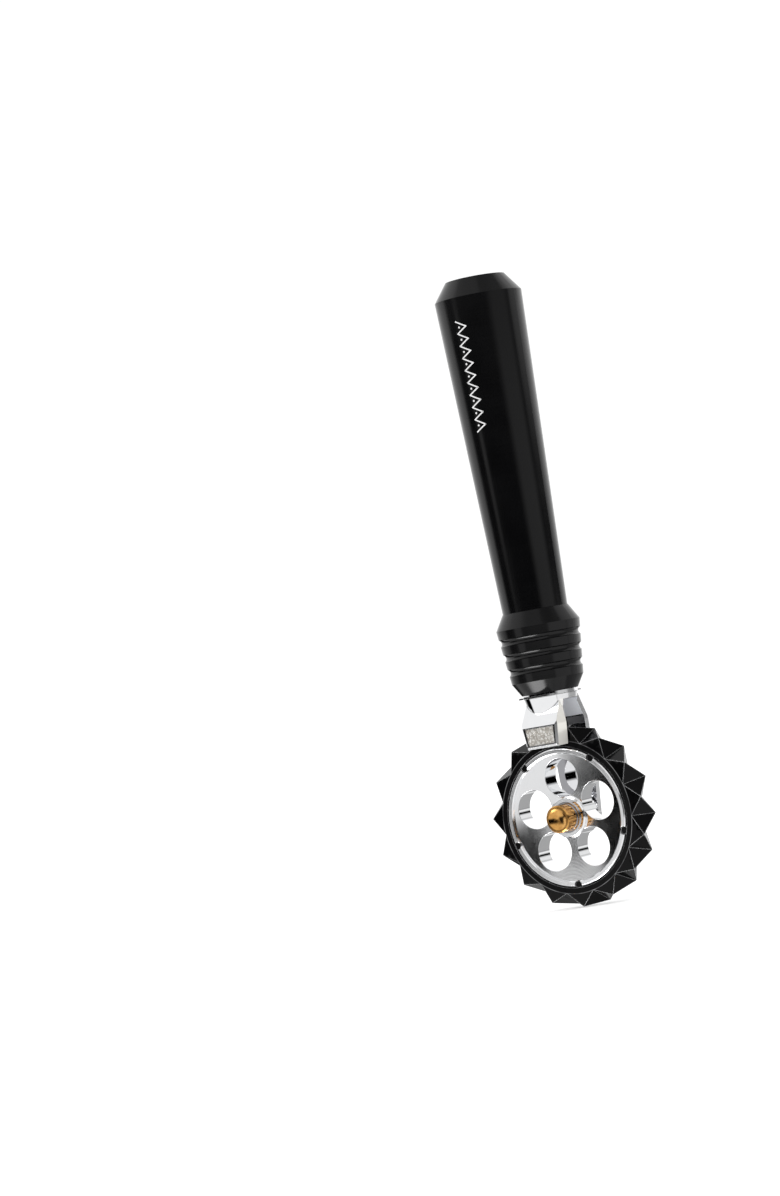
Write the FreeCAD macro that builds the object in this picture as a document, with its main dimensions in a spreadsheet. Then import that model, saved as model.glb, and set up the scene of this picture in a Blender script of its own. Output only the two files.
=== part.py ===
"""Pastry cutter wheel: a turned metal grip, a split chrome fork and a toothed wheel on a thumb screw.

The handle stands along +Z above the wheel, whose axle runs along Y. The thumb screw's head faces -Y.
The origin lies under the wheel's lowest tooth.
"""
import FreeCAD
import Part
import os
import re

import Sketcher
from FreeCAD import Placement, Rotation, Vector

# Driving dimensions in millimetres, except the counts. Heights are above the wheel's lowest tooth.
DIMENSIONS = {
    # wheel position
    "wheel_z": 30.0,
    "wheel_y": 0.5,
    # cutting ring, measured from the wheel's centre
    "tip_r": 30.0,
    "tip_half": 3.54,
    "base_r": 25.4,
    "ring_half": 4.2,
    "ring_bore_r": 23.05,
    "bore_chamfer": 0.5,
    "tooth_count": 15,
    "nub_pitch_r": 22.5,
    "nub_r": 1.3,
    "nub_half": 4.0,
    "nub_count": 5,
    # hub
    "rim_r": 23.0,
    "rim_inner_r": 21.2,
    "rim_front": 4.6,
    "rim_chamfer": 0.3,
    "rim_flange_r": 24.2,
    "hub_back": 5.0,
    "web_front": 3.6,
    "web_back": 3.4,
    "dish_r": 221.0,
    "dish_depth": 1.0,
    "window_r": 6.5,
    "window_pitch_r": 13.2,
    "notch_r": 1.4,
    "boss_r": 6.9,
    "boss_front": 3.8,
    "boss_chamfer": 0.5,
    # running gear
    "axle_r": 3.0,
    "bush_r": 4.0,
    "run_gap": 0.05,
    "push_gap": 0.02,
    "washer_r": 5.2,
    "washer_hole_r": 3.1,
    "washer_t": 0.5,
    "spring_r": 4.4,
    "spring_t": 0.4,
    "spring_slit": 0.8,
    "rear_washer_r": 6.0,
    # thumb knob
    "knob_r": 4.55,
    "knob_length": 5.0,
    "knob_chamfer": 0.35,
    "knob_dish_r": 7.26,
    "knob_dish_depth": 0.9,
    "knob_lip": 0.7,
    "knurl_r": 0.42,
    "knurl_count": 20,
    "shank_r": 2.0,
    "shank_length": 3.6,
    "screw_r": 2.45,
    "screw_end": 10.2,
    # rear arm's threaded bush
    "arm_bush_r": 3.6,
    "arm_bush_bore_r": 2.5,
    "arm_bush_flange_r": 5.0,
    "arm_bush_flange_t": 1.0,
    # fork
    "neck_low_r": 6.9,
    "neck_low_z": 61.5,
    "neck_top_r": 9.0,
    "flange_r": 9.2,
    "flange_z": 70.7,
    "flange_top_z": 71.75,
    "slot_top_z": 68.8,
    "slot_back_y": 4.4,
    "guard_inner_y": 4.2,
    "guard_outer_y": 10.4,
    "guard_top_z": 61.2,
    "guard_low_z": 54.0,
    "guard_low_half": 6.25,
    "guard_slope_y": 4.1,
    "guard_chamfer": 0.7,
    "panel_inset": 0.35,
    "panel_depth": 0.15,
    "head_half": 7.1,
    "head_top_half": 6.3,
    "arm_inner_y": 6.6,
    "arm_outer_y": 8.8,
    "arm_bend_z": 62.2,
    "arm_slope_y": 6.0,
    "arm_taper_z": 42.0,
    "arm_end_r": 5.8,
    # joint between fork, collar and grip
    "spigot_r": 8.0,
    "spigot_top_z": 86.0,
    "stud_r": 4.0,
    "stud_low_z": 73.8,
    "stud_top_z": 104.5,
    "stud_chamfer": 0.6,
    "stud_hole_z": 73.5,
    "insert_r": 5.0,
    "insert_low_z": 87.6,
    "insert_top_z": 103.0,
    "seal_r": 7.45,
    "seal_section_r": 0.6,
    "seal_floor_r": 6.8,
    "seal_width": 1.5,
    "neck_seal_z": 77.0,
    "grip_seal_z": 93.0,
    # collar
    "collar_z": 71.8,
    "collar_low_r": 9.4,
    "collar_chamfer_z": 76.1,
    "collar_chamfer_r": 12.0,
    "collar_flare_z": 94.2,
    "collar_flare_r": 14.0,
    "collar_top_z": 99.35,
    "collar_top_r": 11.0,
    "collar_bore_r": 8.1,
    "groove_z": 90.1,
    "groove_pitch": 5.05,
    "groove_r": 1.38,
    "groove_centre_r": 14.25,
    "groove_step_r": 0.56,
    # grip
    "grip_z": 99.4,
    "grip_low_r": 10.85,
    "grip_edge_z": 204.8,
    "grip_edge_r": 14.6,
    "butt_z": 211.0,
    "butt_r": 10.0,
    "tenon_z": 87.2,
    "drill_r": 4.3,
    "drill_z": 110.0,
    "drill_tip_z": 112.0,
}

doc = FreeCAD.newDocument("pastry_cutter_wheel")
sizes = doc.addObject("Spreadsheet::Sheet", "Sizes")
for row, (alias, value) in enumerate(DIMENSIONS.items(), start=1):
    sizes.set(f"A{row}", alias)
    sizes.set(f"B{row}", str(value))
    sizes.setAlias(f"B{row}", alias)
doc.recompute()


def bound(formula):
    """Turn a formula written with plain dimension names into one that reads the spreadsheet."""
    return re.sub(r"[a-z_]+", lambda word: f"Sizes.{word[0]}" if word[0] in DIMENSIONS else word[0], formula)


def bind(target, **formulas):
    """Drive properties of an object from the spreadsheet."""
    for name, formula in formulas.items():
        target.setExpression(name, bound(formula))


def make_body(label, y="0", z="0"):
    """Start a sub-part whose own origin lies at (0, y, z)."""
    body = doc.addObject("PartDesign::Body", label)
    body.Label = label
    body.setExpression("Placement.Base.y", bound(y))
    body.setExpression("Placement.Base.z", bound(z))
    return body


def origin_feature(body, role):
    return next(feature for feature in body.Origin.OriginFeatures if feature.Role == role)


def make_sketch(body, name, plane, offset="0", height="0"):
    """Open a sketch on one of the body's origin planes, moved along its normal and up its own Y."""
    sketch = body.newObject("Sketcher::SketchObject", name)
    sketch.AttachmentSupport = (origin_feature(body, plane), [""])
    sketch.MapMode = "FlatFace"
    sketch.setExpression("AttachmentOffset.Base.z", bound(offset))
    sketch.setExpression("AttachmentOffset.Base.y", bound(height))
    return sketch


def draw_outline(sketch, corners):
    """Draw a closed outline of straight edges through (x, y) corners given as formulas."""
    count = len(corners)
    spread = [Rotation(Vector(0, 0, 1), 360.0 * i / count).multVec(Vector(20, 0, 0)) for i in range(count)]
    for i in range(count):
        sketch.addGeometry(Part.LineSegment(spread[i], spread[(i + 1) % count]))
    for i in range(count):
        sketch.addConstraint(Sketcher.Constraint("Coincident", i, 2, (i + 1) % count, 1))
    for i, (across, up) in enumerate(corners):
        for kind, formula, guess in (("DistanceX", across, spread[i].x), ("DistanceY", up, spread[i].y)):
            index = sketch.addConstraint(Sketcher.Constraint(kind, -1, 1, i, 1, guess))
            sketch.setExpression(f"Constraints[{index}]", bound(formula))


def draw_circles(sketch, circles):
    """Draw circles given as (x, y, radius) formulas."""
    for i, (across, up, radius) in enumerate(circles):
        sketch.addGeometry(Part.Circle(Vector(3, 3 + 4 * i, 0), Vector(0, 0, 1), 1.0))
        for constraint, formula in (
            (Sketcher.Constraint("DistanceX", -1, 1, i, 3, 3.0), across),
            (Sketcher.Constraint("DistanceY", -1, 1, i, 3, 3.0 + 4 * i), up),
            (Sketcher.Constraint("Radius", i, 1.0), radius),
        ):
            index = sketch.addConstraint(constraint)
            sketch.setExpression(f"Constraints[{index}]", bound(formula))


def revolve(body, name, plane, corners):
    """Turn an outline of (radius, height) corners about the sketch's vertical axis."""
    sketch = make_sketch(body, f"{name}Profile", plane)
    draw_outline(sketch, corners)
    feature = body.newObject("PartDesign::Revolution", name)
    feature.Profile = sketch
    feature.ReferenceAxis = (sketch, ["V_Axis"])
    feature.Angle = 360.0
    sketch.Visibility = False
    return feature


def pad(body, name, sketch, length, reverse=False, midplane=False):
    feature = body.newObject("PartDesign::Pad", name)
    feature.Profile = sketch
    feature.Reversed = reverse
    feature.Midplane = midplane
    bind(feature, Length=length)
    return feature


def pocket(body, name, sketch, length=None, reverse=False):
    """Cut a sketch away: right through both ways, or to a length."""
    feature = body.newObject("PartDesign::Pocket", name)
    feature.Profile = sketch
    feature.Reversed = reverse
    if length is None:
        feature.Type = "ThroughAll"
        feature.Midplane = True
    else:
        bind(feature, Length=length)
    return feature


def chamfer_edges(body, name, size, wanted):
    """Bevel those edges of the body's newest feature that pass a test."""
    doc.recompute()
    solid = body.Tip
    edges = [f"Edge{i}" for i, edge in enumerate(solid.Shape.Edges, 1) if wanted(edge)]
    feature = body.newObject("PartDesign::Chamfer", name)
    feature.Base = (solid, edges)
    bind(feature, Size=size)
    return feature


def repeat_round(body, name, features, axis, count):
    """Copy features evenly round one of the body's axes."""
    pattern = body.newObject("PartDesign::PolarPattern", name)
    pattern.Originals = features
    pattern.Axis = (origin_feature(body, axis), [""])
    pattern.Angle = 360.0
    bind(pattern, Occurrences=count)
    body.Tip = pattern
    return pattern


def hollow_sphere(body, name, radius, centre_y):
    """Scoop a shallow dish out of a face that looks along -Y."""
    sphere = body.newObject("PartDesign::SubtractiveSphere", name)
    bind(sphere, Radius=radius)
    sphere.setExpression("Placement.Base.y", bound(centre_y))
    return sphere


def turned_part(label, plane, corners, y="0", z="0"):
    """Make a sub-part that is one turned outline."""
    body = make_body(label, y, z)
    revolve(body, "Turned", plane, corners)
    return body


# ---- cutting ring ---------------------------------------------------------------------------------
cutting_ring = make_body("cutting_ring", "wheel_y", "wheel_z")
slope = "(ring_half - tip_half) / (tip_r - base_r)"
blank_r = "tip_r + 1"
blank_half = f"ring_half - ({blank_r} - base_r) * {slope}"
revolve(cutting_ring, "Blank", "XY_Plane", [
    ("ring_bore_r", "-ring_half + bore_chamfer"),
    ("ring_bore_r + bore_chamfer", "-ring_half"),
    ("base_r", "-ring_half"),
    (blank_r, f"-({blank_half})"),
    (blank_r, blank_half),
    ("base_r", "ring_half"),
    ("ring_bore_r", "ring_half"),
])

# Each V cut runs from a valley on one face up to a tooth tip on the other face.
lean = "atan((tip_r - base_r) / (ring_half + tip_half))"
wall_x = "tip_r * sin(180 / tooth_count)"
wall_y = f"((tip_r * cos(180 / tooth_count) - base_r) * cos({lean}) - (ring_half - tip_half) * sin({lean}))"
valleys = []
for side, name in ((1, "FrontValley"), (-1, "BackValley")):
    sketch = make_sketch(cutting_ring, f"{name}Profile", "XZ_Plane", f"{side} * ring_half", f"{side} * base_r")
    sketch.AttachmentOffset = Placement(Vector(0, 0, 0), Rotation(Vector(1, 0, 0), 30))
    sketch.setExpression("AttachmentOffset.Rotation.Angle", bound(lean))
    draw_outline(sketch, [
        ("0", "0"),
        (f"{side} * 3 * {wall_x}", f"{side} * 3 * {wall_y}"),
        (f"{-side} * 3 * {wall_x}", f"{side} * 3 * {wall_y}"),
    ])
    valleys.append(pocket(cutting_ring, name, sketch))
repeat_round(cutting_ring, "Teeth", valleys, "Y_Axis", "tooth_count")

sketch = make_sketch(cutting_ring, "NubProfile", "XZ_Plane")
draw_circles(sketch, [("0", "-nub_pitch_r", "nub_r")])
nub = pad(cutting_ring, "Nub", sketch, "2 * nub_half", midplane=True)
repeat_round(cutting_ring, "Nubs", [nub], "Y_Axis", "nub_count")

# ---- hub ------------------------------------------------------------------------------------------
hub = make_body("hub", "wheel_y", "wheel_z")
revolve(hub, "Web", "XY_Plane", [
    ("bush_r", "-web_front"),
    ("rim_inner_r + 0.2", "-web_front"),
    ("rim_inner_r + 0.2", "web_back"),
    ("bush_r", "web_back"),
])
hollow_sphere(hub, "Dish", "dish_r", "dish_depth - web_front - dish_r")
sketch = make_sketch(hub, "WindowProfile", "XZ_Plane")
draw_circles(sketch, [("0", "window_pitch_r", "window_r")])
window = pocket(hub, "Window", sketch)
repeat_round(hub, "Windows", [window], "Y_Axis", "nub_count")
revolve(hub, "Rim", "XY_Plane", [
    ("rim_inner_r", "-rim_front + rim_chamfer"),
    ("rim_inner_r + rim_chamfer", "-rim_front"),
    ("rim_r - rim_chamfer", "-rim_front"),
    ("rim_r", "-rim_front + rim_chamfer"),
    ("rim_r", "ring_half + run_gap"),
    ("rim_flange_r", "ring_half + run_gap"),
    ("rim_flange_r", "hub_back"),
    ("rim_inner_r", "hub_back"),
])
revolve(hub, "Boss", "XY_Plane", [
    ("bush_r", "-boss_front"),
    ("boss_r - boss_chamfer", "-boss_front"),
    ("boss_r", "-boss_front + boss_chamfer"),
    ("boss_r", "hub_back - boss_chamfer"),
    ("boss_r - boss_chamfer", "hub_back"),
    ("bush_r", "hub_back"),
])
sketch = make_sketch(hub, "NotchProfile", "XZ_Plane")
draw_circles(sketch, [("0", "-nub_pitch_r", "notch_r")])
notch = pocket(hub, "Notch", sketch)
repeat_round(hub, "Notches", [notch], "Y_Axis", "nub_count")

# ---- running gear on the axle ---------------------------------------------------------------------
turned_part("hub_bush", "XY_Plane", [
    ("axle_r + run_gap", "-boss_front"),
    ("bush_r - push_gap", "-boss_front"),
    ("bush_r - push_gap", "hub_back"),
    ("axle_r + run_gap", "hub_back"),
], "wheel_y", "wheel_z")

turned_part("rear_thrust_washer", "XY_Plane", [
    ("washer_hole_r", "wheel_y + hub_back + run_gap"),
    ("rear_washer_r", "wheel_y + hub_back + run_gap"),
    ("rear_washer_r", "arm_inner_y - run_gap"),
    ("washer_hole_r", "arm_inner_y - run_gap"),
], "0", "wheel_z")

# Stack in front of the hub: thrust washer, spring washer, knob.
washer_back = "boss_front + run_gap"
spring_back = f"{washer_back} + washer_t"
knob_back = f"{spring_back} + spring_t + run_gap"
knob_front = f"{knob_back} + knob_length"

turned_part("front_thrust_washer", "XY_Plane", [
    ("washer_hole_r", f"-({spring_back})"),
    ("washer_r", f"-({spring_back})"),
    ("washer_r", f"-({washer_back})"),
    ("washer_hole_r", f"-({washer_back})"),
], "wheel_y", "wheel_z")

spring_washer = turned_part("spring_washer", "XY_Plane", [
    ("washer_hole_r", f"-({spring_back} + spring_t)"),
    ("spring_r", f"-({spring_back} + spring_t)"),
    ("spring_r", f"-({spring_back})"),
    ("washer_hole_r", f"-({spring_back})"),
], "wheel_y", "wheel_z")
sketch = make_sketch(spring_washer, "SlitProfile", "XZ_Plane")
draw_outline(sketch, [
    ("-spring_slit / 2", "-spring_r - 1"),
    ("spring_slit / 2", "-spring_r - 1"),
    ("spring_slit / 2", "-1"),
    ("-spring_slit / 2", "-1"),
])
pocket(spring_washer, "Slit", sketch)

# ---- thumb screw ----------------------------------------------------------------------------------
thumb_knob = make_body("thumb_knob", "wheel_y", "wheel_z")
revolve(thumb_knob, "Turned", "XY_Plane", [
    ("0", f"-({knob_front})"),
    ("knob_r - knob_chamfer", f"-({knob_front})"),
    ("knob_r", f"-({knob_front} - knob_chamfer)"),
    ("knob_r", f"-({knob_back} + knob_chamfer)"),
    ("knob_r - knob_chamfer", f"-({knob_back})"),
    ("shank_r + push_gap", f"-({knob_back})"),
    ("shank_r + push_gap", f"-({knob_back} + shank_length)"),
    ("0", f"-({knob_back} + shank_length)"),
])
hollow_sphere(thumb_knob, "Dish", "knob_dish_r", f"knob_dish_depth - ({knob_front}) - knob_dish_r")
sketch = make_sketch(thumb_knob, "KnurlProfile", "XZ_Plane", f"{knob_front} - knob_lip")
draw_circles(sketch, [("0", "knob_r + 0.08", "knurl_r")])
knurl = pocket(thumb_knob, "Knurl", sketch, "knob_length + 1")
repeat_round(thumb_knob, "Knurls", [knurl], "Y_Axis", "knurl_count")

turned_part("axle_screw", "XY_Plane", [
    ("0", f"-({knob_back} + shank_length - 0.2)"),
    ("shank_r", f"-({knob_back} + shank_length - 0.2)"),
    ("shank_r", f"-({knob_back})"),
    ("axle_r", f"-({knob_back})"),
    ("axle_r", "arm_inner_y - wheel_y - run_gap"),
    ("screw_r", "arm_inner_y - wheel_y - run_gap"),
    ("screw_r", "screw_end - wheel_y - 0.5"),
    ("screw_r - 0.5", "screw_end - wheel_y"),
    ("0", "screw_end - wheel_y"),
], "wheel_y", "wheel_z")

turned_part("arm_thread_bush", "XY_Plane", [
    ("arm_bush_bore_r", "arm_inner_y + run_gap"),
    ("arm_bush_r - push_gap", "arm_inner_y + run_gap"),
    ("arm_bush_r - push_gap", "arm_outer_y + push_gap"),
    ("arm_bush_flange_r", "arm_outer_y + push_gap"),
    ("arm_bush_flange_r", "arm_outer_y + arm_bush_flange_t"),
    ("arm_bush_bore_r", "arm_outer_y + arm_bush_flange_t"),
], "0", "wheel_z")

# ---- fork -----------------------------------------------------------------------------------------
fork = make_body("fork")
revolve(fork, "Spigot", "XZ_Plane", [
    ("0", "flange_z"),
    ("flange_r", "flange_z"),
    ("flange_r", "flange_top_z"),
    ("spigot_r", "flange_top_z"),
    ("spigot_r", "neck_seal_z - seal_width / 2"),
    ("seal_floor_r", "neck_seal_z - seal_width / 2"),
    ("seal_floor_r", "neck_seal_z + seal_width / 2"),
    ("spigot_r", "neck_seal_z + seal_width / 2"),
    ("spigot_r", "spigot_top_z"),
    ("stud_r + run_gap", "spigot_top_z"),
    ("stud_r + run_gap", "stud_hole_z"),
    ("0", "stud_hole_z"),
])

sketch = make_sketch(fork, "GuardProfile", "XZ_Plane", "guard_inner_y")
draw_outline(sketch, [
    ("-head_top_half", "flange_z + 0.5"),
    ("-head_half", "guard_top_z"),
    ("-guard_low_half", "guard_low_z"),
    ("guard_low_half", "guard_low_z"),
    ("head_half", "guard_top_z"),
    ("head_top_half", "flange_z + 0.5"),
])
pad(fork, "Guard", sketch, "guard_outer_y - guard_inner_y")
chamfer_edges(fork, "GuardChamfer", "guard_chamfer", lambda edge: all(
    abs(corner.Y + DIMENSIONS["guard_outer_y"]) < 1e-4 for corner in edge.Vertexes
) and min(corner.Z for corner in edge.Vertexes) < DIMENSIONS["guard_top_z"] + 1)
sketch = make_sketch(fork, "GuardSlopeProfile", "YZ_Plane")
draw_outline(sketch, [
    ("-guard_outer_y", "guard_top_z"),
    ("-guard_slope_y", "flange_z"),
    ("-guard_outer_y - 1", "flange_z"),
    ("-guard_outer_y - 1", "guard_top_z"),
])
pocket(fork, "GuardSlope", sketch)
sketch = make_sketch(fork, "GuardPanelProfile", "XZ_Plane", "guard_outer_y")
draw_outline(sketch, [
    ("-guard_low_half + guard_chamfer + panel_inset", "guard_low_z + guard_chamfer + panel_inset"),
    ("guard_low_half - guard_chamfer - panel_inset", "guard_low_z + guard_chamfer + panel_inset"),
    ("head_half - guard_chamfer - 2 * panel_inset", "guard_top_z - panel_inset"),
    ("-head_half + guard_chamfer + 2 * panel_inset", "guard_top_z - panel_inset"),
])
pocket(fork, "GuardPanel", sketch, "panel_depth")

sketch = make_sketch(fork, "ArmProfile", "XZ_Plane", "-slot_back_y")
draw_outline(sketch, [
    ("-head_top_half", "flange_z + 0.5"),
    ("-head_half", "guard_top_z"),
    ("-head_half", "arm_taper_z"),
    ("-arm_end_r", "wheel_z"),
    ("arm_end_r", "wheel_z"),
    ("head_half", "arm_taper_z"),
    ("head_half", "guard_top_z"),
    ("head_top_half", "flange_z + 0.5"),
])
pad(fork, "Arm", sketch, "arm_outer_y - slot_back_y", reverse=True)
sketch = make_sketch(fork, "ArmEndProfile", "XZ_Plane", "-slot_back_y")
draw_circles(sketch, [("0", "wheel_z", "arm_end_r")])
pad(fork, "ArmEnd", sketch, "arm_outer_y - slot_back_y", reverse=True)
sketch = make_sketch(fork, "ArmSlopeProfile", "YZ_Plane")
draw_outline(sketch, [
    ("arm_outer_y", "arm_bend_z - 0.3"),
    ("arm_slope_y", "flange_z"),
    ("arm_outer_y + 1", "flange_z"),
    ("arm_outer_y + 1", "arm_bend_z - 0.3"),
])
pocket(fork, "ArmSlope", sketch)

revolve(fork, "Neck", "XZ_Plane", [
    ("0", "neck_low_z"),
    ("neck_low_r", "neck_low_z"),
    ("neck_top_r", "flange_z"),
    ("neck_top_r", "flange_z + 0.5"),
    ("0", "flange_z + 0.5"),
])
sketch = make_sketch(fork, "SlotProfile", "YZ_Plane")
draw_outline(sketch, [
    ("-guard_inner_y", "wheel_z - tip_r"),
    ("-guard_inner_y", "slot_top_z"),
    ("slot_back_y", "slot_top_z"),
    ("arm_inner_y", "arm_bend_z"),
    ("arm_inner_y", "wheel_z - tip_r"),
])
pocket(fork, "Slot", sketch)
sketch = make_sketch(fork, "AxleHoleProfile", "XZ_Plane")
draw_circles(sketch, [("0", "wheel_z", "arm_bush_r")])
pocket(fork, "AxleHole", sketch)

# ---- collar, grip and what joins them -------------------------------------------------------------
collar = make_body("collar")
revolve(collar, "Turned", "XZ_Plane", [
    ("collar_bore_r", "collar_z"),
    ("collar_low_r", "collar_z"),
    ("collar_chamfer_r", "collar_chamfer_z"),
    ("collar_flare_r", "collar_flare_z"),
    ("collar_top_r", "collar_top_z"),
    ("collar_bore_r", "collar_top_z"),
])
sketch = make_sketch(collar, "GrooveProfile", "XZ_Plane")
draw_circles(sketch, [
    (f"groove_centre_r - {i} * groove_step_r", f"groove_z - {i} * groove_pitch", "groove_r") for i in range(3)
])
grooves = collar.newObject("PartDesign::Groove", "Grooves")
grooves.Profile = sketch
grooves.ReferenceAxis = (sketch, ["V_Axis"])
grooves.Angle = 360.0

turned_part("handle_grip", "XZ_Plane", [
    ("0", "butt_z"),
    ("butt_r", "butt_z"),
    ("grip_edge_r", "grip_edge_z"),
    ("grip_low_r", "grip_z"),
    ("spigot_r", "grip_z"),
    ("spigot_r", "grip_seal_z + seal_width / 2"),
    ("seal_floor_r", "grip_seal_z + seal_width / 2"),
    ("seal_floor_r", "grip_seal_z - seal_width / 2"),
    ("spigot_r", "grip_seal_z - seal_width / 2"),
    ("spigot_r", "tenon_z"),
    ("insert_r + push_gap", "tenon_z"),
    ("insert_r + push_gap", "insert_top_z + 0.3"),
    ("drill_r", "insert_top_z + 0.3"),
    ("drill_r", "drill_z"),
    ("0", "drill_tip_z"),
])

turned_part("stud_insert", "XZ_Plane", [
    ("stud_r + run_gap", "insert_low_z"),
    ("insert_r", "insert_low_z"),
    ("insert_r", "insert_top_z"),
    ("stud_r + run_gap", "insert_top_z"),
])

turned_part("tie_stud", "XZ_Plane", [
    ("0", "stud_low_z"),
    ("stud_r - stud_chamfer", "stud_low_z"),
    ("stud_r", "stud_low_z + stud_chamfer"),
    ("stud_r", "stud_top_z - stud_chamfer"),
    ("stud_r - stud_chamfer", "stud_top_z"),
    ("0", "stud_top_z"),
])

for label, height in (("neck_seal_ring", "neck_seal_z"), ("handle_seal_ring", "grip_seal_z")):
    seal = make_body(label, "0", height)
    torus = seal.newObject("PartDesign::AdditiveTorus", "Ring")
    bind(torus, Radius1="seal_r", Radius2="seal_section_r")

# ---- check and export -----------------------------------------------------------------------------
doc.recompute()
for item in doc.Objects:
    if "Invalid" in item.State or "Error" in item.State:
        raise RuntimeError(f"{item.Label} did not compute: {item.State}")

os.makedirs("parts", exist_ok=True)
for body in doc.findObjects("PartDesign::Body"):
    shape = body.Shape
    if shape.isNull() or not shape.isValid() or len(shape.Solids) != 1:
        raise RuntimeError(f"{body.Label} is not one valid solid")
    shape.exportStep(f"parts/{body.Label}.step")
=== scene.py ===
"""Looks for the pastry cutter wheel: materials, a printed grip mark, studio light and camera."""

import math
from collections import namedtuple
from functools import reduce

import bmesh
import bpy
from mathutils import Matrix, Vector


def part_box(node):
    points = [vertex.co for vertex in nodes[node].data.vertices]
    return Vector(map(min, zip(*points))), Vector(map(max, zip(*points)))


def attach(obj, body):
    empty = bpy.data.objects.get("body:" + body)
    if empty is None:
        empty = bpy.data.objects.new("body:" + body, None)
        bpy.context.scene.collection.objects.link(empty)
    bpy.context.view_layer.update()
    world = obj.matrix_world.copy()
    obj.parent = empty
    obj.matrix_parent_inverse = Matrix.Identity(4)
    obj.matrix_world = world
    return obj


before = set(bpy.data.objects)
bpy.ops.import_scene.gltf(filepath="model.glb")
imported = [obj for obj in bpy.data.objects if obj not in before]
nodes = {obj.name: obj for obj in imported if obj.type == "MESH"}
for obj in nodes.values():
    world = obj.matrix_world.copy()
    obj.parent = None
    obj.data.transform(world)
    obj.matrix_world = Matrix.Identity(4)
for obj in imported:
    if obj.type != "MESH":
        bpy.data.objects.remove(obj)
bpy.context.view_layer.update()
scene = bpy.context.scene

MM = 0.001

# Places read from the frame.
ring_low, ring_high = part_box("cutting_ring")
wheel = (ring_low + ring_high) / 2
guard_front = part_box("fork")[0].y
tool_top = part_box("handle_grip")[1].z

# Radius at which the ring's flat faces turn into its teeth.
LIP_RADIUS = 25.4 * MM

# The camera's bearing, round from the tool's front to its right. The studio is set up about the camera.
AZIMUTH = math.radians(36.2)


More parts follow.
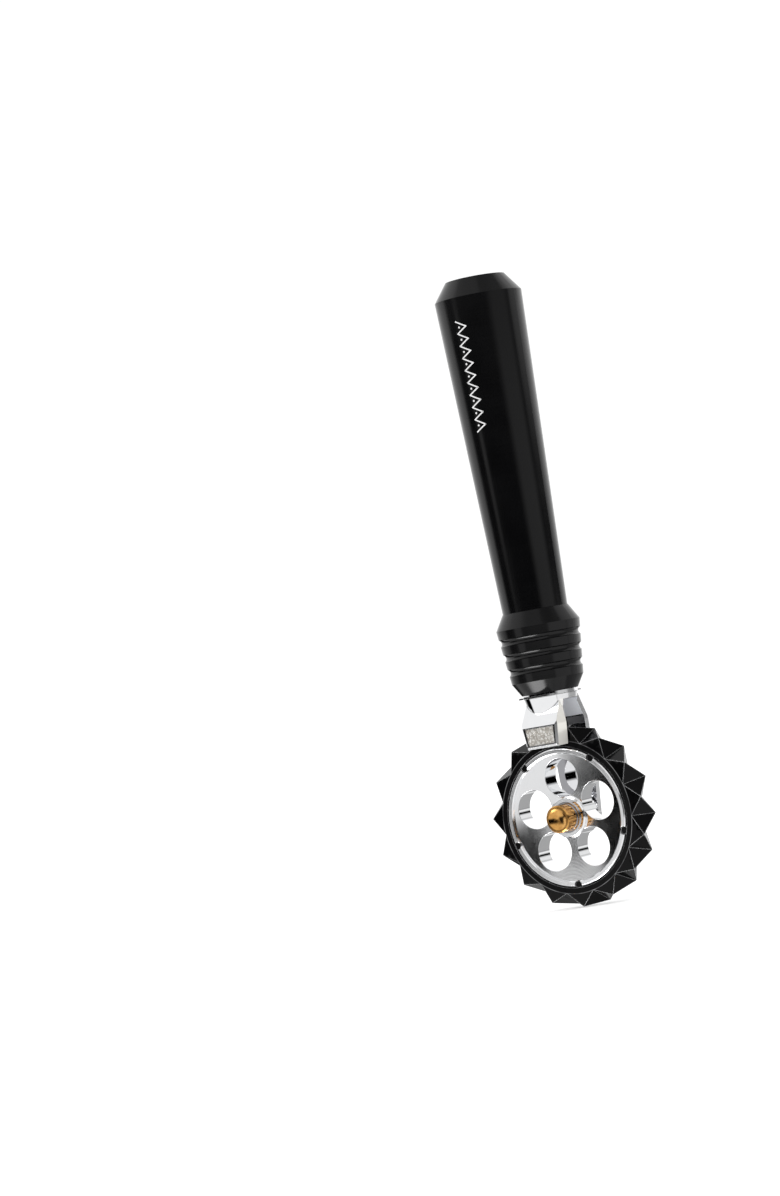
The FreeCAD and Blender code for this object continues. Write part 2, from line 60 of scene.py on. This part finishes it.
# ---- node helpers ----------------------------------------------------------------------------------
class Shader:
    """A material's node tree with short ways to add and join nodes."""

    def __init__(self, name):
        self.material = bpy.data.materials.new(name)
        self.material.use_nodes = True
        self.tree = self.material.node_tree
        self.surface = self.tree.nodes["Principled BSDF"]
        self.coords = self.add("ShaderNodeTexCoord").outputs["Object"]

    def add(self, kind, **settings):
        """Add a node and set its properties."""
        node = self.tree.nodes.new(kind)
        for key, value in settings.items():
            setattr(node, key, value)
        return node

    def put(self, socket, value):
        """Set a socket's value, or link an output to it."""
        if isinstance(value, bpy.types.NodeSocket):
            self.tree.links.new(value, socket)
        else:
            socket.default_value = value

    def principled(self, **values):
        """Set the surface's sockets, with underscores for the spaces in their names."""
        for key, value in values.items():
            self.put(self.surface.inputs[key.replace("_", " ")], value)

    def plugged(self, name):
        """The output that feeds one of the surface's sockets now."""
        return self.surface.inputs[name].links[0].from_socket

    # Coordinates and directions.

    def axes(self, vector):
        """The three numbers of a vector."""
        node = self.add("ShaderNodeSeparateXYZ")
        self.put(node.inputs["Vector"], vector)
        return node.outputs["X"], node.outputs["Y"], node.outputs["Z"]

    def true_normal(self):
        """The direction that the bare surface faces."""
        return self.add("ShaderNodeNewGeometry").outputs["True Normal"]

    def scaled(self, x, y, z):
        """Object coordinates multiplied by a factor on each axis."""
        mapping = self.add("ShaderNodeMapping")
        self.put(mapping.inputs["Vector"], self.coords)
        mapping.inputs["Scale"].default_value = (x, y, z)
        return mapping.outputs["Vector"]

    def from_axle(self):
        """Distance from the wheel's axis."""
        x, _, z = self.axes(self.coords)
        dx = self.math("SUBTRACT", x, wheel.x)
        dz = self.math("SUBTRACT", z, wheel.z)
        return self.math("SQRT", self.total(self.product(dx, dx), self.product(dz, dz)))

    # Numbers.

    def math(self, operation, *values):
        """One Math node, with its inputs in Blender's order."""
        node = self.add("ShaderNodeMath", operation=operation)
        for socket, value in zip(node.inputs, values):
            self.put(socket, value)
        return node.outputs["Value"]

    def product(self, *values):
        return reduce(lambda first, second: self.math("MULTIPLY", first, second), values)

    def total(self, *values):
        return reduce(lambda first, second: self.math("ADD", first, second), values)

    def inverse(self, value):
        """1 minus the value."""
        return self.math("SUBTRACT", 1.0, value)

    def between(self, value, low, high):
        """1 where a value lies between two limits, 0 elsewhere."""
        return self.product(self.math("GREATER_THAN", value, low), self.math("LESS_THAN", value, high))

    def span(self, value, low, high, to_low=0.0, to_high=1.0):
        """Map a value from one range to another, held inside it."""
        node = self.add("ShaderNodeMapRange")
        for key, number in zip(("Value", "From Min", "From Max", "To Min", "To Max"),
                               (value, low, high, to_low, to_high)):
            self.put(node.inputs[key], number)
        return node.outputs["Result"]

    def noise(self, scale, detail=4.0, roughness=0.55, vector=None):
        """Noise whose scale is given in lumps per metre."""
        node = self.add("ShaderNodeTexNoise")
        self.put(node.inputs["Vector"], vector or self.coords)
        node.inputs["Scale"].default_value = scale
        node.inputs["Detail"].default_value = detail
        node.inputs["Roughness"].default_value = roughness
        return node.outputs["Fac"]

    def turned_rings(self, pitch):
        """A wave round the wheel's axis, as a lathe leaves it."""
        return self.math("SINE", self.product(self.from_axle(), 2 * math.pi / pitch))

    def edges(self, width):
        """1 on sharp edges, out to about half the width, and 0 elsewhere."""
        dot = self.add("ShaderNodeVectorMath", operation="DOT_PRODUCT")
        self.put(dot.inputs[0], self.rounded(width))
        self.put(dot.inputs[1], self.true_normal())
        return self.span(dot.outputs["Value"], 0.985, 0.93)

    # Colours and normals.

    def blend(self, amount, first, second):
        """Mix two colours."""
        node = self.add("ShaderNodeMix", data_type="RGBA")
        self.put(node.inputs["Factor"], amount)
        self.put(node.inputs["A"], first)
        self.put(node.inputs["B"], second)
        return node.outputs["Result"]

    def bump(self, height, depth, strength=1.0, under=None):
        """Relief of a given depth, laid over another normal if there is one."""
        node = self.add("ShaderNodeBump")
        node.inputs["Strength"].default_value = strength
        node.inputs["Distance"].default_value = depth
        self.put(node.inputs["Height"], height)
        if under is not None:
            self.put(node.inputs["Normal"], under)
        return node.outputs["Normal"]

    def rounded(self, radius):
        """The surface normal with sharp edges rounded off."""
        node = self.add("ShaderNodeBevel", samples=6)
        node.inputs["Radius"].default_value = radius
        return node.outputs["Normal"]


# ---- materials -------------------------------------------------------------------------------------
def black_anodised():
    """Satin black anodised metal, with faint turning lines round the grip and handling marks."""
    shade = Shader("black_anodised")
    lines = shade.noise(60.0, 3.0, 0.6, shade.scaled(0.3, 0.3, 60.0))
    clouds = shade.noise(90.0, 5.0)
    wear = shade.total(shade.product(lines, 0.5), shade.product(clouds, 0.5))
    shade.principled(
        Base_Color=shade.blend(clouds, (0.0015, 0.0015, 0.0017, 1), (0.003, 0.003, 0.0034, 1)),
        Roughness=shade.span(wear, 0.3, 0.7, 0.14, 0.22),
        IOR=1.37,
        Normal=shade.bump(lines, 0.01 * MM, 0.35),
    )
    return shade.material


def chrome(name, edge_radius):
    """Polished chrome plate with faint polishing haze and softened edges."""
    shade = Shader(name)
    haze = shade.noise(220.0, 5.0)
    wipes = shade.noise(900.0, 2.0, 0.5, shade.scaled(1.0, 1.0, 0.12))
    wear = shade.total(shade.product(haze, 0.6), shade.product(wipes, 0.4))
    waves = shade.noise(140.0, 2.0)
    shade.principled(
        Base_Color=shade.blend(haze, (0.86, 0.87, 0.88, 1), (0.93, 0.93, 0.94, 1)),
        Metallic=1.0,
        Roughness=shade.span(wear, 0.3, 0.7, 0.02, 0.06),
        Normal=shade.bump(waves, 0.02 * MM, 0.12, shade.rounded(edge_radius)),
    )
    return shade


def hub_chrome():
    """Chrome whose flat faces keep the lathe's rings, so that they stretch reflections away from the axle,
    and whose back face is left satin."""
    shade = chrome("hub_chrome", 0.22 * MM)
    _, facing_back, _ = shade.axes(shade.true_normal())
    face = shade.span(shade.math("ABSOLUTE", facing_back), 0.93, 0.97)
    back_face = shade.span(facing_back, 0.93, 0.97)
    rings = shade.turned_rings(0.45 * MM)
    tangent = shade.add("ShaderNodeTangent", direction_type="RADIAL", axis="Y")
    shade.principled(
        Base_Color=shade.blend(back_face, shade.plugged("Base Color"), (0.50, 0.50, 0.52, 1)),
        Roughness=shade.total(shade.product(back_face, 0.22), shade.product(face, 0.07),
                              shade.plugged("Roughness")),
        Normal=shade.bump(shade.product(rings, face), 0.003 * MM, 0.3, shade.plugged("Normal")),
        Anisotropic=0.6,
        Anisotropic_Rotation=0.25,
        Tangent=tangent.outputs["Tangent"],
    )
    return shade.material


def fork_chrome():
    """Chrome with painted shade in its creases, a hammered warm grey panel on the guard's front, satin
    white slot walls on the arm's half, painted shade on the slot walls of the guard's half, and brushed
    sides."""
    shade = chrome("fork_chrome", 0.06 * MM)
    x_facing, y_facing, _ = shade.axes(shade.true_normal())
    _, y, z = shade.axes(shade.coords)
    sideways = shade.span(shade.math("ABSOLUTE", x_facing), 0.75, 0.85)

    # The panel's floor is recessed by 0.15 mm.
    panel = shade.product(shade.between(y, guard_front + 0.10 * MM, guard_front + 0.20 * MM),
                          shade.math("LESS_THAN", y_facing, -0.95))
    cells = shade.add("ShaderNodeTexVoronoi", feature="DISTANCE_TO_EDGE")
    shade.put(cells.inputs["Vector"], shade.coords)
    cells.inputs["Scale"].default_value = 800.0
    dents = shade.span(cells.outputs["Distance"], 0.0, 0.12)
    mottle = shade.span(shade.noise(1100.0, 4.0), 0.35, 0.65)
    warm = shade.blend(shade.product(mottle, dents), (0.34, 0.31, 0.27, 1), (0.80, 0.79, 0.76, 1))

    # The slot's walls run from the guard's back face to just short of the rear arm's inner face, and up to
    # the slot's top. Below its bend the arm is left bright.
    guard_back = -4.2 * MM
    slot_middle = 1.0 * MM
    slot_back = 6.45 * MM
    slot_top = 69.0 * MM
    arm_bend = 62.3 * MM
    past_edge = 0.1 * MM
    on_arm = shade.math("GREATER_THAN", y, slot_middle)
    under_top = shade.math("LESS_THAN", z, slot_top)
    below_bend = shade.product(on_arm, shade.math("LESS_THAN", z, arm_bend))
    slot = shade.product(shade.between(y, guard_back - past_edge, slot_back), under_top,
                         shade.math("LESS_THAN", sideways, 0.5), shade.inverse(below_bend))
    # Painted shade: the slot's walls on the guard's half are painted near black; those on the arm's half
    # are a satin white.
    satin_wall_and_painted_shade = shade.blend(on_arm, (0.07, 0.07, 0.075, 1), (0.93, 0.95, 1.0, 1))
    guard_side = shade.product(sideways, shade.math("LESS_THAN", y, guard_back + past_edge), under_top)

    # Painted shade: where ambient occlusion finds a crease, the base colour darkens to near black.
    creases = shade.add("ShaderNodeAmbientOcclusion", samples=8, only_local=True)
    creases.inputs["Distance"].default_value = 0.5 * MM
    painted_crease_shade = shade.span(creases.outputs["AO"], 0.93, 0.72)

    colour = shade.blend(panel, shade.plugged("Base Color"), warm)
    colour = shade.blend(slot, colour, satin_wall_and_painted_shade)
    colour = shade.blend(guard_side, colour, (0.97, 0.95, 0.89, 1))
    dull = shade.total(shade.product(guard_side, 0.6), shade.product(slot, 0.95), shade.product(panel, 0.7))
    shade.principled(
        Base_Color=shade.blend(painted_crease_shade, colour, (0.03, 0.03, 0.03, 1)),
        Roughness=shade.total(shade.product(sideways, 0.16), shade.product(slot, 0.34),
                              shade.product(panel, 0.38), shade.plugged("Roughness")),
        Metallic=shade.inverse(dull),
        Normal=shade.bump(shade.product(dents, panel), 0.2 * MM, 0.8, shade.plugged("Normal")),
    )
    return shade.material


def glossy_plastic():
    """Glossy black acetal with a fine orange peel, slightly dull patches, and painted highlights on its
    sharp edges and in a thin line round its lip.
    """
    shade = Shader("black_acetal")
    peel = shade.noise(1300.0, 2.0)
    patches = shade.noise(160.0, 4.0)
    # Painted highlights: the ring's sharp edges are lightened toward pale grey, in patches.
    painted_edge_highlight = shade.product(shade.edges(0.32 * MM), shade.span(patches, 0.35, 0.6, 0.35, 1.0))
    # Painted highlight: a thin pale line round the ring at the lip's radius.
    from_lip = shade.math("ABSOLUTE", shade.math("SUBTRACT", shade.from_axle(), LIP_RADIUS))
    painted_lip_highlight = shade.product(shade.span(from_lip, 0.08 * MM, 0.16 * MM, 0.3, 0.0),
                             shade.span(patches, 0.4, 0.6, 0.3, 1.0))
    black = shade.blend(patches, (0.0008, 0.0008, 0.0009, 1), (0.0025, 0.0025, 0.0027, 1))
    shade.principled(
        Base_Color=shade.blend(shade.math("MAXIMUM", painted_edge_highlight, painted_lip_highlight), black, (0.55, 0.55, 0.56, 1)),
        Roughness=shade.span(patches, 0.3, 0.7, 0.10, 0.20),
        Normal=shade.bump(peel, 0.02 * MM, 0.25),
        IOR=1.24,
    )
    return shade.material


def brass():
    """Polished brass with turning rings and a little tarnish in patches."""
    shade = Shader("polished_brass")
    tarnish = shade.noise(500.0, 5.0)
    patches = shade.span(tarnish, 0.35, 0.7)
    shade.principled(
        Base_Color=shade.blend(patches, (0.76, 0.42, 0.13, 1), (0.50, 0.24, 0.06, 1)),
        Metallic=1.0,
        Roughness=shade.span(tarnish, 0.3, 0.7, 0.08, 0.2),
        Normal=shade.bump(shade.turned_rings(0.25 * MM), 0.006 * MM, 0.4),
    )
    return shade.material


def plain_metal(name, dark, light, rough):
    """Turned metal for the small inner pieces."""
    shade = Shader(name)
    grain = shade.noise(800.0, 4.0)
    shade.principled(
        Base_Color=shade.blend(grain, dark, light),
        Metallic=1.0,
        Roughness=shade.span(grain, 0.3, 0.7, rough - 0.06, rough + 0.06),
        Normal=shade.bump(grain, 0.01 * MM, 0.3),
    )
    return shade.material


def rubber():
    """Dull black rubber for the seal rings."""
    shade = Shader("seal_rubber")
    grain = shade.noise(2500.0, 3.0)
    shade.principled(
        Base_Color=shade.blend(grain, (0.012, 0.012, 0.012, 1), (0.03, 0.03, 0.03, 1)),
        Roughness=shade.span(grain, 0.3, 0.7, 0.55, 0.75),
        Normal=shade.bump(grain, 0.02 * MM, 0.5),
    )
    return shade.material


def white_ink():
    """White printing ink, slightly worn."""
    shade = Shader("white_ink")
    worn = shade.noise(1800.0, 3.0)
    shade.principled(
        Base_Color=shade.blend(worn, (0.62, 0.62, 0.62, 1), (0.9, 0.9, 0.9, 1)),
        Roughness=shade.span(worn, 0.3, 0.7, 0.4, 0.6),
    )
    return shade.material


def finish_nodes():
    """Give each CAD node its material. Nodes without a row of their own are ground steel."""
    anodised = black_anodised()
    seal = rubber()
    steel = plain_metal("ground_steel", (0.50, 0.50, 0.52, 1), (0.66, 0.66, 0.68, 1), 0.24)
    bronze = plain_metal("bearing_bronze", (0.45, 0.28, 0.12, 1), (0.62, 0.42, 0.20, 1), 0.30)
    finishes = {
        "handle_grip": anodised,
        "collar": anodised,
        "fork": fork_chrome(),
        "hub": hub_chrome(),
        "cutting_ring": glossy_plastic(),
        "thumb_knob": brass(),
        "hub_bush": bronze,
        "handle_seal_ring": seal,
        "neck_seal_ring": seal,
    }
    for name, node in nodes.items():
        for slot in node.material_slots:
            slot.material = finishes.get(name, steel)


def soften_ring():
    """Break the edges between the cutting ring's facets softly."""
    ring = nodes["cutting_ring"]
    weld = ring.modifiers.new("weld", "WELD")
    weld.merge_threshold = 0.0005 * MM
    bevel = ring.modifiers.new("bevel", "BEVEL")
    bevel.width = 0.22 * MM
    bevel.segments = 2
    bevel.limit_method = "ANGLE"
    bevel.angle_limit = math.radians(28)
    bevel.harden_normals = True


finish_nodes()
soften_ring()


# ---- printed mark on the grip ----------------------------------------------------------------------
def mesh_of(name, shape, material):
    """Turn a bmesh into a mesh with one material."""
    mesh = bpy.data.meshes.new(name)
    shape.to_mesh(mesh)
    shape.free()
    mesh.materials.append(material)
    return mesh


def add_object(name, mesh):
    item = bpy.data.objects.new(name, mesh)
    scene.collection.objects.link(item)
    return item


def draw_stroke(ink, start, end, width):
    """A straight flat stroke, cut across so that the mark can bend round the grip."""
    cuts = 6
    along = (end - start).normalized()
    side = Vector((-along.y, along.x)) * width / 2
    first, last = start - along * width / 3, end + along * width / 3
    rows = []
    for i in range(cuts + 1):
        point = first.lerp(last, i / cuts)
        rows.append([ink.verts.new((*(point + side * way), 0)) for way in (-1, 1)])
    for before, after in zip(rows, rows[1:]):
        ink.faces.new((before[0], after[0], after[1], before[1]))


def zigzag_ink():
    """A row of pastry-edge zigzags with a dot in each, down the Y axis and centred on it."""
    teeth = 9
    pitch = 4.1 * MM
    reach = 3.6 * MM
    width = 0.42 * MM
    ink = bmesh.new()
    top = teeth * pitch / 2
    for i in range(teeth):
        high, middle, low = (top - (i + part) * pitch for part in (0, 0.5, 1))
        point = Vector((reach / 2, middle))
        draw_stroke(ink, Vector((-reach / 2, high)), point, width)
        draw_stroke(ink, point, Vector((-reach / 2, low)), width)
        dot = Matrix.Translation((-reach * 0.22, middle, 0))
        bmesh.ops.create_circle(ink, cap_ends=True, segments=16, radius=width * 0.8, matrix=dot)
    return ink


def grip_mark():
    """The zigzags printed down the grip, just to the right of its front."""
    bearing = math.radians(3.5)
    below_top = 32.5 * MM
    clear_of_grip = 25.0 * MM
    mark = add_object("grip_mark", mesh_of("grip_mark", zigzag_ink(), white_ink()))

    # It starts as a flat sheet in front of the grip and is then laid back onto the grip's surface.
    across = Vector((math.cos(bearing), math.sin(bearing), 0))
    upright = Vector((0, 0, 1))
    outward = Vector((math.sin(bearing), -math.cos(bearing), 0))
    spot = outward * clear_of_grip + upright * (tool_top - below_top)
    mark.matrix_world = Matrix.Translation(spot) @ Matrix((across, upright, outward)).transposed().to_4x4()
    wrap = mark.modifiers.new("wrap", "SHRINKWRAP")
    wrap.target = nodes["handle_grip"]
    wrap.wrap_method = "PROJECT"
    wrap.use_project_z = True
    wrap.use_negative_direction = True
    wrap.use_positive_direction = False
    wrap.offset = 0.03 * MM
    film = mark.modifiers.new("film", "SOLIDIFY")
    film.thickness = 0.05 * MM
    film.offset = -1
    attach(mark, "handle")


grip_mark()

# ---- studio ----------------------------------------------------------------------------------------
# A soft lamp on the reflected sky. Its left and right bearings count from the camera's own, positive toward
# the picture's right. Its low and high edges are angles above level, and soft is how wide its edges fade.
# All of these are in degrees.
Lamp = namedtuple("Lamp", "left right low high soft bright")

SKY_LAMPS = (
    # white behind the tool on its right and left: high panels, and low ones by the floor
    Lamp(118, 200, -10, 100, 8, 1.15),
    Lamp(160, 200, -100, -24, 8, 0.8),
    Lamp(-200, -104, -8, 100, 8, 1.1),
    Lamp(-200, -104, -100, -24, 8, 0.8),
    # the floor in front of it, dimmer at the far right
    Lamp(-110, 24, -100, -14, 6, 0.95),
    Lamp(24, 84, -100, -6, 5, 0.9),
    Lamp(84, 160, -12, -4, 4, 0.9),
    Lamp(84, 160, -100, -12, 6, 0.4),
    # panels above the camera's level: in front and to the left, dimmer on the right, and far right
    Lamp(-110, 24, 12, 56, 8, 0.95),
    Lamp(24, 84, 8, 56, 8, 0.3),
    Lamp(84, 118, 4, 56, 5, 0.85),
    # the ceiling
    Lamp(-110, 20, 56, 100, 14, 0.6),
    Lamp(20, 118, 56, 100, 14, 0.35),
    # a soft box level with the camera, on its right
    Lamp(24, 76, -8, 8, 16, 0.7),
    # narrow strips on the camera's left
    Lamp(-72, -66, -100, -4.5, 2, 0.85),
    Lamp(-68, -50, -100, -6, 1.5, 0.85),
    Lamp(-76, -64.5, -0.5, 6, 1.5, 0.85),
    # a strong low lamp on the left, which lights the hub's turned face
    Lamp(-100, -22, -78, -48, 10, 9.0),
)


def lamp_glow(shade, bearing, height, lamp):
    """A lamp's brightness over the sky, fading out across its soft edges."""
    def rise(value, edge):
        return shade.span(value, edge - lamp.soft / 2, edge + lamp.soft / 2)

    across = shade.product(rise(bearing, lamp.left), shade.inverse(rise(bearing, lamp.right)))
    upward = shade.product(rise(height, lamp.low), shade.inverse(rise(height, lamp.high)))
    return shade.product(across, upward, lamp.bright)


def studio_sky():
    """A sphere round the set that only reflections see: white behind the tool, above and below it, and dark
    at the camera's level, with soft lamps standing in it. Where lamps overlap, the brighter one shows."""
    radius = 1.1
    degree = math.radians(1)
    shade = Shader("studio_sky")
    x, y, z = shade.axes(shade.coords)
    azimuth = shade.product(shade.math("ARCTAN2", x, shade.product(y, -1.0)), 1 / degree)
    bearing = shade.math("WRAP", shade.math("SUBTRACT", azimuth, AZIMUTH / degree), 180.0, -180.0)
    height = shade.product(shade.math("ARCSINE", shade.math("DIVIDE", z, radius)), 1 / degree)
    glows = (lamp_glow(shade, bearing, height, lamp) for lamp in SKY_LAMPS)
    brightest = reduce(lambda first, second: shade.math("MAXIMUM", first, second), glows)
    shade.tree.nodes.remove(shade.surface)
    glow = shade.add("ShaderNodeEmission")
    shade.put(glow.inputs["Strength"], brightest)
    shade.put(shade.tree.nodes["Material Output"].inputs["Surface"], glow.outputs["Emission"])

    ball = bmesh.new()
    bmesh.ops.create_uvsphere(ball, u_segments=64, v_segments=32, radius=radius)
    sky = add_object("studio_sky", mesh_of("studio_sky", ball, shade.material))
    sky.location.z = tool_top / 2
    sky.visible_camera = False
    sky.visible_diffuse = False
    sky.visible_shadow = False


def white_world():
    """Even white light from all round, and a picture without a film's contrast curve."""
    world = bpy.data.worlds.new("studio")
    world.use_nodes = True
    background = world.node_tree.nodes["Background"]
    background.inputs["Color"].default_value = (1, 1, 1, 1)
    background.inputs["Strength"].default_value = 1.05
    scene.world = world
    scene.view_settings.view_transform = "Standard"


def pale_floor():
    """A wide matt floor a hair under the cutting ring, which shows no reflection in the chrome."""
    half = 3.0
    clearance = 0.2 * MM
    shade = Shader("floor")
    shade.principled(
        Base_Color=(0.9, 0.9, 0.9, 1),
        Roughness=0.9,
        Specular_IOR_Level=0.0,
        Emission_Color=(1, 1, 1, 1),
        Emission_Strength=0.4,
    )
    sheet = bmesh.new()
    bmesh.ops.create_grid(sheet, x_segments=1, y_segments=1, size=half)
    floor = add_object("floor", mesh_of("floor", sheet, shade.material))
    floor.location.z = ring_low.z - clearance
    floor.visible_glossy = False


studio_sky()
white_world()
pale_floor()

# ---- camera ----------------------------------------------------------------------------------------
PICTURE_WIDTH, PICTURE_HEIGHT = 780, 1196


def place_camera():
    """A long lens to the tool's front right, about level with the wheel, and rolled so that the grip leans
    to the left of the picture."""
    pitch = math.radians(-1.37)
    roll = math.radians(10.3)
    distance = 1.324
    # Blender lays the sensor's width along the picture's longer side, which is its height.
    sensor = 36.0
    lens = 120.52174
    # How far the wheel's centre stands from the picture's centre, as shares of the width and height.
    wheel_right, wheel_down = 0.2354, 0.1821

    level_back = Vector((math.sin(AZIMUTH), -math.cos(AZIMUTH), 0))
    back = level_back * math.cos(pitch) + Vector((0, 0, math.sin(pitch)))
    right = Vector((math.cos(AZIMUTH), math.sin(AZIMUTH), 0))
    turn = Matrix.Rotation(-roll, 3, back)
    camera_right = turn @ right
    camera_up = turn @ back.cross(right)
    view_height = distance * sensor / lens
    view_width = view_height * PICTURE_WIDTH / PICTURE_HEIGHT
    eye = wheel + back * distance
    eye += camera_up * wheel_down * view_height - camera_right * wheel_right * view_width

    data = bpy.data.cameras.new("camera")
    data.sensor_width = sensor
    data.lens = lens
    data.clip_end = 20.0
    camera = add_object("camera", data)
    axes = Matrix((camera_right, camera_up, back)).transposed().to_4x4()
    camera.matrix_world = Matrix.Translation(eye) @ axes
    scene.camera = camera


place_camera()
